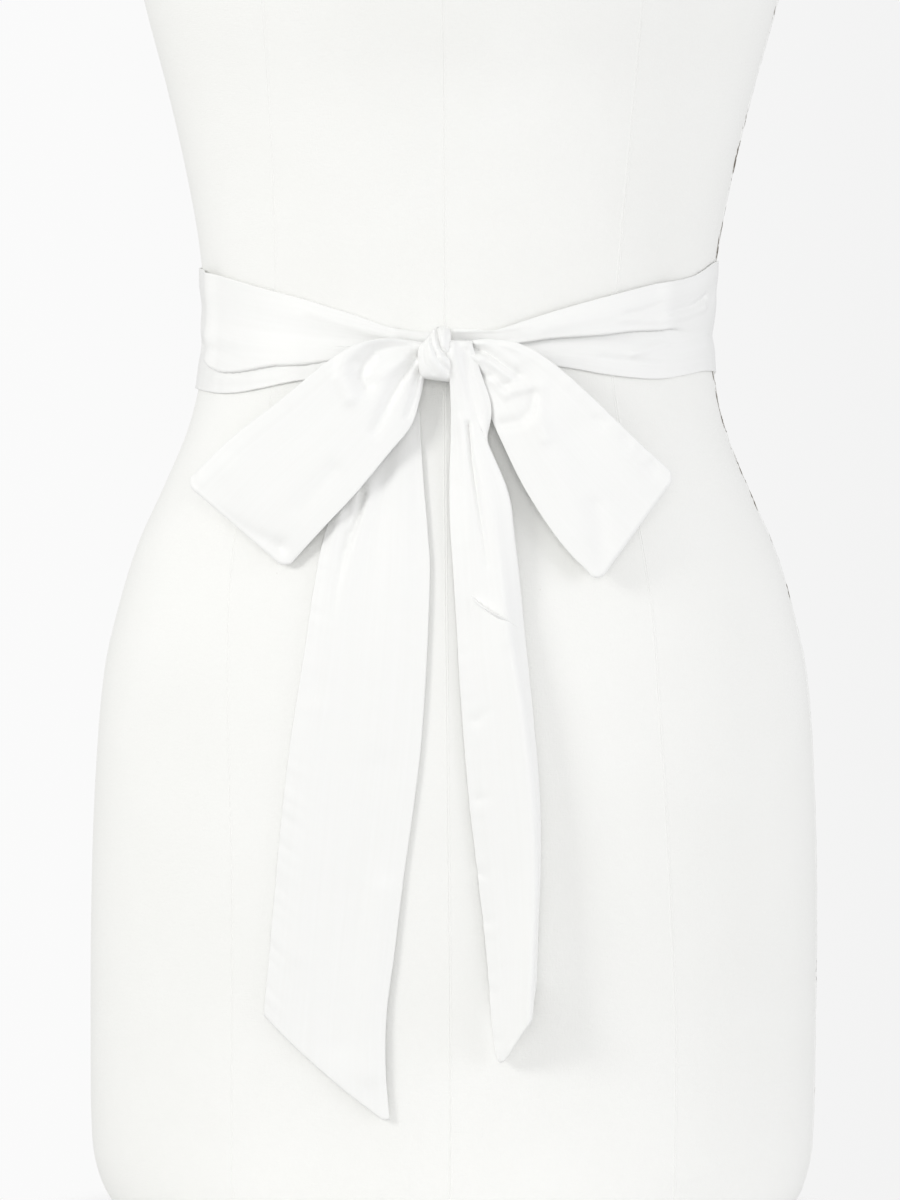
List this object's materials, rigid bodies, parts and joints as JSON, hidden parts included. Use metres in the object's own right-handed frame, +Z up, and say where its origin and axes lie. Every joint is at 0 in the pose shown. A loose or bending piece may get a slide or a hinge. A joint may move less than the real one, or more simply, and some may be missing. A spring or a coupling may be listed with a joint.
{
  "type": "satin sash on a dress form",
  "caption": "Satin ribbon sash wound round the waist of a limbless dress form and tied at the front in a bow with hanging tails",
  "frame": {"origin": "middle of the underside of the base board, on the floor", "axes": "+Z up, -Y towards the front of the form where the bow is, +X to the right seen from the front"},
  "size_m": [0.3484, 0.2504, 0.9054],
  "materials": {
    "satin": "white satin ribbon, soft sheen along the width",
    "canvas": "white painted canvas over papier-mache, matt",
    "board": "white painted board, matt"
  },
  "bodies": {
    "root": {"form_torso": "canvas", "form_base_board": "board", "form_neck_cap": "board", "waist_left": "satin", "waist_right": "satin", "waist_back": "satin", "knot": "satin", "loop_left": "satin", "loop_right": "satin", "tail_left": "satin", "tail_right": "satin"}
  },
  "joints": []
}
